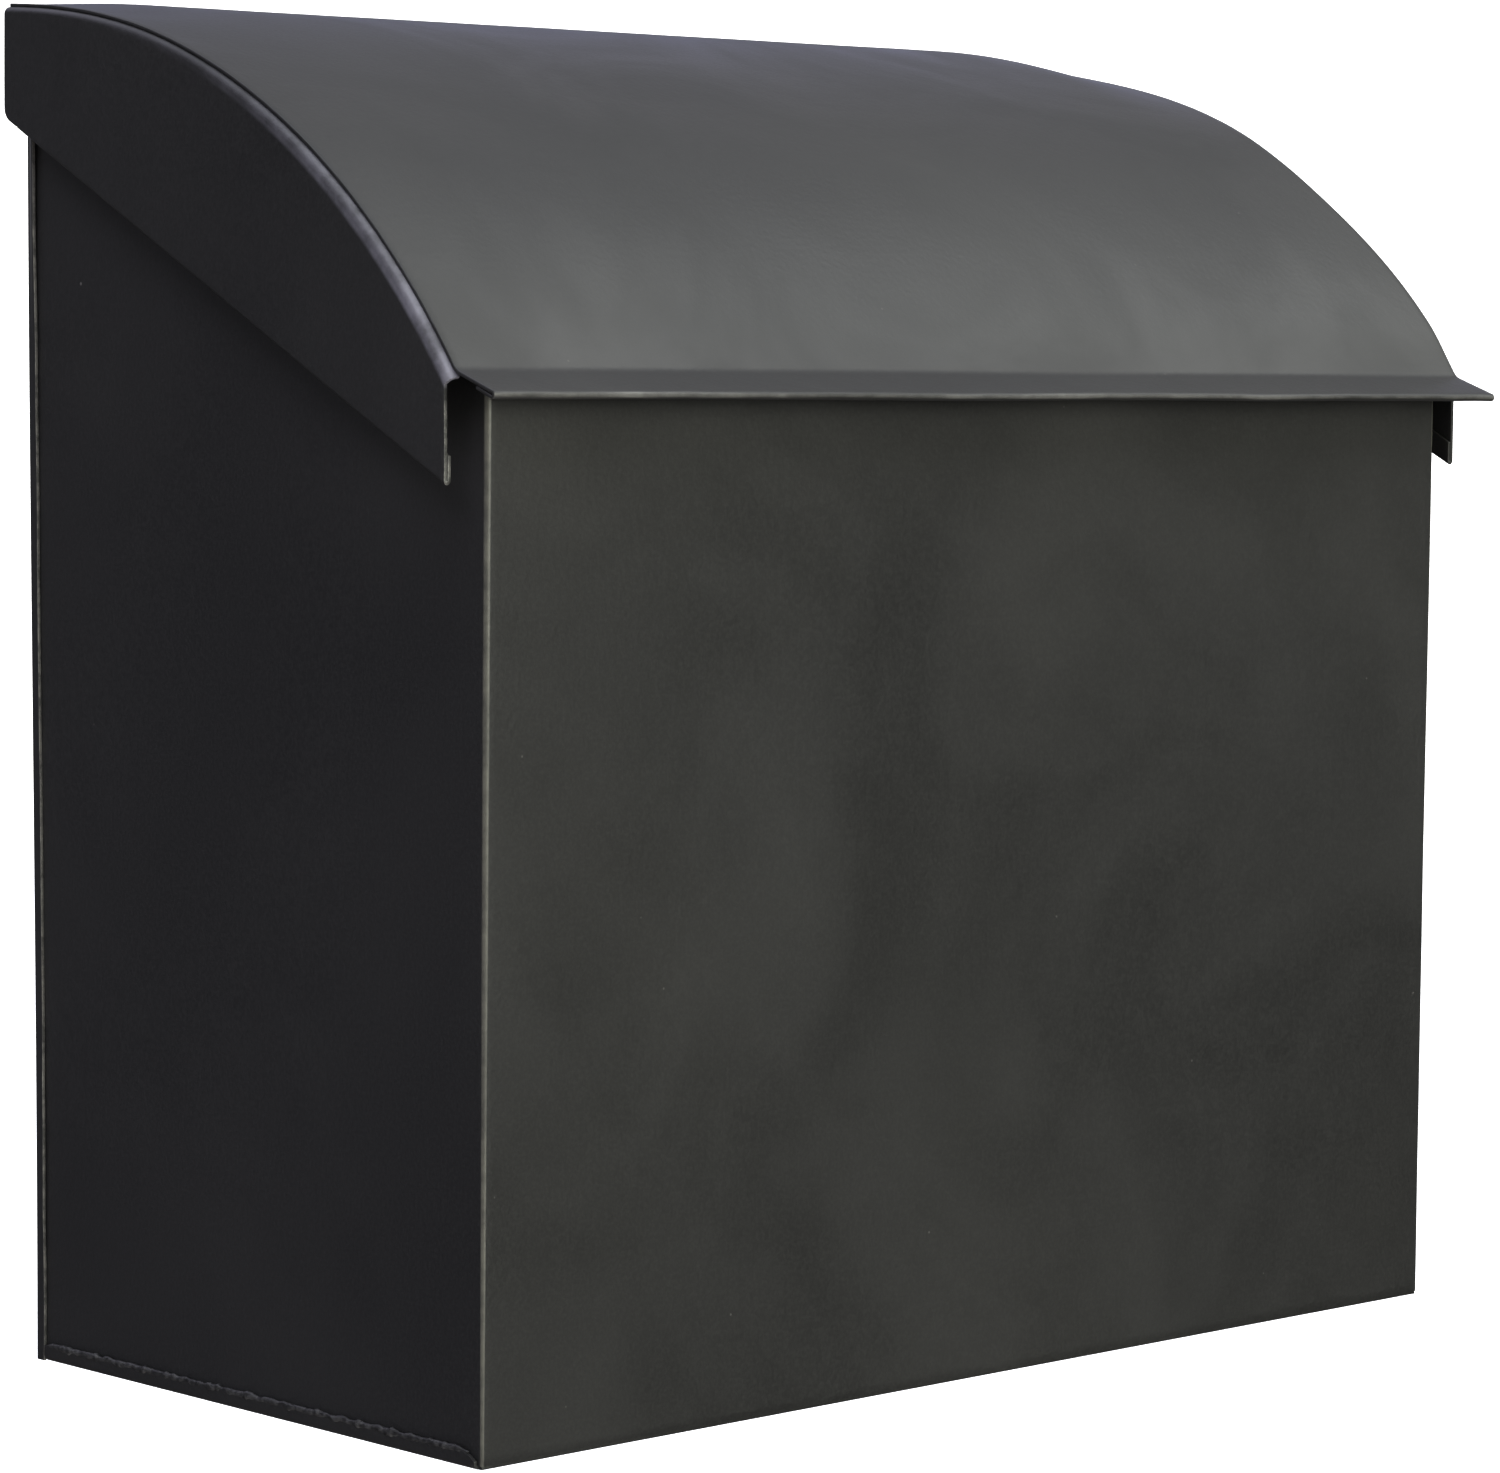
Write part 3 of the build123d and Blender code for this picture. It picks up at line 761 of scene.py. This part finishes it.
def lid_profile():
    """The lid top's centre line from its rear edge to the end of its hem, as (y, z), and for each
    point its share of the lip's waviness."""
    forward, upward, length = lip_direction()
    radius = ARC_R - HALF
    lip_start = np.array([FRONT_Y, CREASE_Z]) - upward * HALF
    # Where the lip's centre line meets the arch's, behind the crease
    offset = lip_start - np.array([ARC_Y, ARC_Z])
    along = offset @ forward
    reach = math.sqrt(along**2 - offset @ offset + radius**2) - along
    meet = lip_start + forward * reach
    rear_angle = math.asin((ARC_Y - LID_HIGH.y) / radius)
    arch_angle = math.asin((ARC_Y - meet[0]) / radius)
    trim = CREASE_BEND / radius
    profile = [
        (ARC_Y - radius * math.sin(a), ARC_Z + radius * math.cos(a))
        for a in spaced(rear_angle, arch_angle - trim, 84, 0.25)
    ]
    start, end = np.array(profile[-1]), meet + forward * CREASE_BEND
    for t in spaced(0, 1, 7)[1:-1]:
        profile.append(tuple((1 - t) ** 2 * start + 2 * t * (1 - t) * meet + t * t * end))
    waves = [0.0] * len(profile)
    nose = length - NOSE_R - HALF
    begin = float((end - lip_start) @ forward)
    for s in spaced(begin, nose, 8):
        profile.append(tuple(lip_start + forward * s))
        waves.append(max(0.0, s / nose))
    for a in spaced(0, math.pi, 10)[1:]:
        centre = lip_start + forward * nose - upward * NOSE_R
        spoke = upward * math.cos(a) + forward * math.sin(a)
        profile.append(tuple(centre + spoke * NOSE_R))
        waves.append(1.0)
    for s in spaced(0, LIP_HEM, 5)[1:]:
        pinch = (2 * NOSE_R - SHEET - 0.12) * smoothstep(0.0, 0.7, s / LIP_HEM)
        profile.append(tuple(lip_start + forward * (nose - s) - upward * (2 * NOSE_R - pinch)))
        waves.append(1 - 0.4 * s / LIP_HEM)
    return profile, waves


def lid_top():
    """The arched lid sheet with its crease, lip and rolled-under hem."""
    profile, waves = lid_profile()
    xs = spaced(LID_LOW.x, LID_HIGH.x, 130, 0.15)
    points = np.array([[(x, y, z) for x in xs] for y, z in profile])
    waves = np.array(waves)[:, None]
    rear = smoothstep(LID_HIGH.y - LID_REAR_CALM, LID_HIGH.y, points[..., 1])
    calm = (1 - waves) * (1 - 0.8 * rear)
    for height, size, seed in LID_BUCKLES:
        points = buckle(points, height, size, seed, calm)
    # The lip's front edge wanders back and forth and up and down along its length
    along = points * np.array([1.0, 0.0, 0.0])
    setback = 0.18 + 0.16 * unevenness(along, 37.0, 23) + 0.07 * unevenness(along, 8.0, 24)
    rise = 0.24 * unevenness(along, 61.0, 25) + 0.08 * unevenness(along, 10.0, 26)
    points[..., 1] += waves * setback
    points[..., 2] += waves * rise
    points[..., 2] += lid_skew(points[..., 0], points[..., 1])
    points[..., 2] -= rear * (0.09 + 0.04 * unevenness(along, 14.0, 27))
    piece = grid_object("lid_top_sheet", points)
    thicken(piece, LID_COAT, COAT)
    round_edges(piece)
    place(piece, "lid", "painted_steel", "lid_top")


def cheek(side, hand):
    """A lid side plate: an arched flange turned in under the lid top, and a folded lower edge."""
    outer = side * (CHEEK_HIGH.x - HALF)
    radius = ARC_R - SHEET - CHEEK_GAP - HALF
    rear_y = CHEEK_HIGH.y
    front_y = FRONT_Y + CHEEK_SETBACK
    low_front = np.array([FRONT_Y + CHEEK_RAKE, CREASE_Z - CHEEK_FRONT_H])
    low_rear = np.array([rear_y, on_arch(ARC_R - SHEET, rear_y) - CHEEK_REAR_H])
    turn = math.atan((low_rear[1] - low_front[1]) / (low_rear[0] - low_front[0]))
    # The rear lower corner is rounded between the rear edge and the sloping edge
    sweep = math.pi / 2 - turn
    tangent = CHEEK_CORNER_R * math.tan(sweep / 2)
    corner = np.array([rear_y - CHEEK_CORNER_R, low_rear[1] + tangent])
    low_path = [
        (corner[0] + CHEEK_CORNER_R * math.cos(a), corner[1] - CHEEK_CORNER_R * math.sin(a))
        for a in spaced(0, sweep, 8)
    ]
    # Two columns after the corner, the hem begins
    hem_column = len(low_path) + 2
    start = np.array(low_path[-1])
    run = low_front - start
    hem_from = CHEEK_HEM_START / np.linalg.norm(run)
    steps = [hem_from * 0.5, hem_from * 0.96, *spaced(hem_from, 1, 84, 0.2)]
    low_path += [tuple(start + run * t) for t in steps]
    ys = [rear_y + (front_y - rear_y) * (rear_y - y) / (rear_y - low_front[0]) for y, _ in low_path]
    flange = spaced(CHEEK_FLANGE - CHEEK_BEND - HALF, 0, 6)
    bend = spaced(math.pi / 2, 0, 9)
    plate = spaced(0, 1, 26, 0.3)[1:]
    fold = spaced(0, math.pi, 8)[1:]
    leg = spaced(0, CHEEK_HEM - CHEEK_FOLD_R, 5)[1:]
    rows = len(flange) + len(bend) - 1 + len(plate) + len(fold) + len(leg)
    points = np.zeros((rows, len(low_path), 3))
    hem_up = np.array([-math.sin(turn), math.cos(turn)])
    for c, ((low_y, low_z), y) in enumerate(zip(low_path, ys)):
        a = math.asin((ARC_Y - y) / radius)
        radial = np.array([-math.sin(a), math.cos(a)])
        flare = CHEEK_FLARE * float(smoothstep(CHEEK_FLARE_L, 0.0, y - front_y))
        bend_r = CHEEK_BEND + flare
        centre = np.array([ARC_Y, ARC_Z]) + radial * (radius - bend_r)
        column = []
        for f in flange:
            yz = np.array([ARC_Y, ARC_Z]) + radial * radius
            column.append((bend_r + f, *yz))
        for b in bend[1:]:
            yz = centre + radial * bend_r * math.sin(b)
            column.append((bend_r * (1 - math.cos(b)), *yz))
        top = np.array(column[-1][1:])
        low = np.array([low_y, low_z])
        upward = (top - low) / ((top - low) @ hem_up)
        low = low + upward * CHEEK_FOLD_R * (c >= hem_column)
        for t in plate:
            column.append((0.0, *(top + (low - top) * t)))
        for f in fold:
            yz = low - upward * CHEEK_FOLD_R * math.sin(f)
            column.append((CHEEK_FOLD_R * (1 - math.cos(f)), *yz))
        for s in leg:
            column.append((2 * CHEEK_FOLD_R, *(low + upward * s)))
        points[:, c] = [(outer - side * inwards, y, z) for inwards, y, z in column]
    hem_row = len(flange) + len(bend) - 1 + len(plate) - 1
    height = (points[..., 2] - points[hem_row, :, 2]) / (points[0, :, 2] - points[hem_row, :, 2])
    points[..., 2] += lid_skew(points[..., 0], points[..., 1]) * np.clip(height, 0.0, 1.0)
    swell = 0.22 * unevenness(points, 60.0, 30 + side) + 0.05 * unevenness(points, 18.0, 33 + side)
    points[..., 0] += side * (swell - CHEEK_INSET)
    keep = all_cells(points)
    keep[hem_row:, :hem_column] = False
    # The flange stops short of the crease
    keep[: len(flange) - 1, -3:] = False
    piece = grid_object(f"{hand}_cheek_sheet", points, keep)
    thicken(piece, CHEEK_COAT, EDGE if side < 0 else COAT)
    # Only the flat plate's cut edge has lost paint, so the flange's edge takes the face's coat
    for face in piece.data.polygons:
        from_axis = math.hypot(face.center.y / MM - ARC_Y, face.center.z / MM - ARC_Z)
        if face.material_index == 1 and from_axis > ARC_R - BARE_EDGE_BELOW:
            face.material_index = 0
    round_edges(piece)
    place(piece, "lid", "painted_steel", f"{hand}_cheek")


front_and_sides()
back_panel()
bottom_panel()
lid_top()
for SIDE, HAND in ((-1, "left"), (1, "right")):
    seam_weld(SIDE, HAND)
    cheek(SIDE, HAND)

# ---- Hinges: the CAD nodes keep their shape and get their finish --------------------------
for node, shown in frame["nodes"].items():
    if "hinge" in node:
        shown.data.materials.clear()
        shown.data.materials.append(ZINC if node.endswith("pin") else HINGE_PAINT)


# ---- Camera, floor and light ---------------------------------------------------------------
CAMERA_AT = Vector((-840.70, -961.87, FLOOR_Z + 237.66)) * MM
CAMERA_AZIMUTH = math.radians(43.44)
CAMERA_DROP = math.radians(4.627)
CAMERA_ROLL = math.radians(0.541)
CAMERA_LENS = 125.99
SENSOR = 36.0


def camera():
    """The photograph's viewpoint: in front of the left corner, a little above the lid's crease."""
    ahead = Vector(
        (
            math.sin(CAMERA_AZIMUTH) * math.cos(CAMERA_DROP),
            math.cos(CAMERA_AZIMUTH) * math.cos(CAMERA_DROP),
            -math.sin(CAMERA_DROP),
        )
    )
    right = Vector((math.cos(CAMERA_AZIMUTH), -math.sin(CAMERA_AZIMUTH), 0))
    up = right.cross(ahead)
    rolled_right = right * math.cos(CAMERA_ROLL) + up * math.sin(CAMERA_ROLL)
    rolled_up = up * math.cos(CAMERA_ROLL) - right * math.sin(CAMERA_ROLL)
    data = bpy.data.cameras.new("camera")
    data.lens = CAMERA_LENS
    data.sensor_width = SENSOR
    data.sensor_fit = "HORIZONTAL"
    data.clip_start = 0.05
    data.clip_end = 60.0
    eye = bpy.data.objects.new("camera", data)
    turn = Matrix((rolled_right, rolled_up, -ahead)).transposed()
    eye.matrix_world = Matrix.Translation(CAMERA_AT) @ turn.to_4x4()
    bpy.context.scene.collection.objects.link(eye)
    bpy.context.scene.camera = eye


FLOOR_DROP = 1250.0
FLOOR_HALF = 30000.0
BACKDROP_R = 14000.0


def plain(name, colour, glow):
    """A plain pale stage material."""
    material = bpy.data.materials.new(name)
    material.use_nodes = True
    shader = material.node_tree.nodes["Principled BSDF"]
    shader.inputs["Base Color"].default_value = (*colour, 1.0)
    shader.inputs["Roughness"].default_value = 0.9
    shader.inputs["Emission Color"].default_value = (*colour, 1.0)
    shader.inputs["Emission Strength"].default_value = glow
    return material


def stage():
    """A pale floor well below the box and a pale backdrop, which only the camera sees."""
    s = FLOOR_HALF
    corners = [(x, y, FLOOR_Z - FLOOR_DROP) for x, y in ((-s, -s), (s, -s), (s, s), (-s, s))]
    floor = mesh_object("studio_floor", corners, [(0, 1, 2, 3)])
    floor.data.materials.append(plain("floor_paper", (0.93, 0.93, 0.93), 0.92))
    bands, sides = 12, 32
    vertices = []
    for r in range(bands + 1):
        ring_r = BACKDROP_R * math.sin(math.pi * r / bands)
        height = BACKDROP_R * math.cos(math.pi * r / bands)
        for k in range(sides):
            a = math.tau * k / sides
            vertices.append((ring_r * math.cos(a), ring_r * math.sin(a), height))
    backdrop = mesh_object("studio_backdrop", vertices, tube_faces(bands + 1, sides))
    backdrop.data.materials.append(plain("backdrop_paper", (1.0, 1.0, 1.0), 1.0))
    for piece in (floor, backdrop):
        piece.visible_diffuse = False
        piece.visible_glossy = False
        piece.visible_shadow = False


# Soft studio light: each entry is a direction towards the light, its half width in degrees,
# its strength and its tint. The world has no other light.
LIGHTS = (
    ((0.0, 0.0, 1.0), 60, 0.95, (0.96, 1.00, 1.10)),
    ((0.69, -0.32, 0.66), 30, 2.70, (0.98, 1.00, 0.97)),
    ((0.07, -0.965, 0.18), 27, 6.70, (0.98, 1.00, 0.88)),
    ((0.69, 0.72, 0.08), 30, 0.45, (0.65, 0.70, 1.40)),
    ((0.69, 0.52, 0.51), 25, 0.42, (1.00, 0.97, 0.95)),
    ((-0.69, 0.72, -0.08), 40, 0.12, (0.95, 0.95, 1.10)),
    ((-0.08, 0.72, 0.69), 30, 0.80, (0.95, 0.90, 1.20)),
    ((0.20, 0.97, 0.12), 22, 0.90, (0.98, 0.98, 1.05)),
    ((-0.20, -0.20, -0.96), 60, 1.00, (1.05, 1.00, 1.02)),
    ((-0.40, -0.90, 0.10), 28, 1.30, (1.05, 1.00, 0.90)),
    ((-0.97, -0.15, 0.10), 40, 0.25, (0.95, 0.95, 1.05)),
    ((-0.64, -0.35, 0.69), 20, 5.50, (0.96, 0.95, 1.15)),
)


def studio_light():
    """A world of broad soft lights, smooth everywhere."""
    world = bpy.data.worlds.new("studio")
    bpy.context.scene.world = world
    world.use_nodes = True
    tree = world.node_tree
    coordinates = tree.nodes.new("ShaderNodeTexCoord").outputs["Generated"]
    total = None
    for direction, width, strength, tint in LIGHTS:
        toward = tree.nodes.new("ShaderNodeVectorMath")
        toward.operation = "DOT_PRODUCT"
        tree.links.new(coordinates, toward.inputs[0])
        toward.inputs[1].default_value = Vector(direction).normalized()
        falloff = tree.nodes.new("ShaderNodeMapRange")
        falloff.interpolation_type = "SMOOTHSTEP"
        tree.links.new(toward.outputs["Value"], falloff.inputs["Value"])
        falloff.inputs["From Min"].default_value = math.cos(math.radians(width))
        falloff.inputs["From Max"].default_value = 1.0
        colour = tree.nodes.new("ShaderNodeVectorMath")
        colour.operation = "SCALE"
        colour.inputs[0].default_value = [c * strength for c in tint]
        tree.links.new(falloff.outputs["Result"], colour.inputs["Scale"])
        if total is None:
            total = colour.outputs["Vector"]
        else:
            add = tree.nodes.new("ShaderNodeVectorMath")
            add.operation = "ADD"
            tree.links.new(total, add.inputs[0])
            tree.links.new(colour.outputs["Vector"], add.inputs[1])
            total = add.outputs["Vector"]
    tree.links.new(total, tree.nodes["Background"].inputs["Color"])
    bpy.context.scene.view_settings.view_transform = "Standard"


camera()
stage()
studio_light()

bpy.context.view_layer.update()
